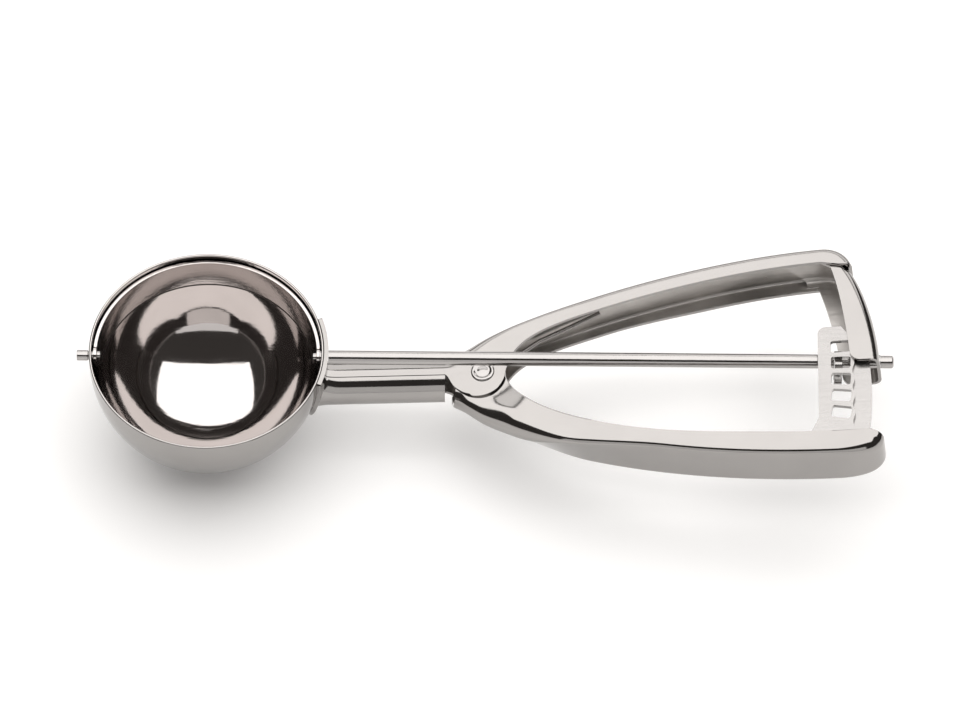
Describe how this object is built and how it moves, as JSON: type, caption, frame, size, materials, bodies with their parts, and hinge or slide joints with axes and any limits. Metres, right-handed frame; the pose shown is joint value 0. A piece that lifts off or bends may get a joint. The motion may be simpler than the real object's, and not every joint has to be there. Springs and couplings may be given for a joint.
{
  "type": "lever ice cream scoop",
  "caption": "Squeeze-handle ice cream scoop: a half-round bowl with a sweep blade that a rack in the lever and a pinion on the rod turn from rim to rim.",
  "frame": {"origin": "centre of the bowl's ball, on the axis that the sweep blade turns about", "axes": "+X along the drive rod to its tail, +Z out of the bowl's mouth, +Y towards the fixed arm of the handle"},
  "size_m": [0.2291, 0.0691, 0.0417],
  "materials": {
    "polished_steel": "polished",
    "plain_steel": "satin",
    "rod_steel": "polished",
    "brushed_steel": "brushed",
    "spring_steel": "satin"
  },
  "bodies": {
    "handle": {"bowl": "polished_steel", "bowl_collar": "polished_steel", "handle_frame": "polished_steel", "rear_bracket": "polished_steel", "pivot_rivet": "rod_steel", "pivot_sleeve": "plain_steel", "return_spring": "spring_steel"},
    "lever": {"squeeze_lever": "polished_steel", "rack_plate": "plain_steel"},
    "sweep": {"sweep_rod": "rod_steel", "sector_pinion": "plain_steel", "sweep_blade": "brushed_steel", "front_pin": "rod_steel"}
  },
  "joints": [
    {"name": "lever_squeeze", "type": "hinge", "parent": "handle", "child": "lever", "pos_m": [0.0783, -0.0021, -0.0108], "axis": [-0.1097, 0, 0.994], "range_deg": [0, 8.14], "stiffness_Nm_per_rad": 3, "springref_deg": -17.19, "deforming": ["return_spring"]},
    {"name": "blade_sweep", "type": "hinge", "parent": "handle", "child": "sweep", "pos_m": [0, 0, 0], "axis": [1, 0, 0], "range_deg": [-164.1, 0.1]}
  ],
  "couplings": [
    {"joint": "blade_sweep", "follows": "lever_squeeze", "ratio": -20.135}
  ]
}
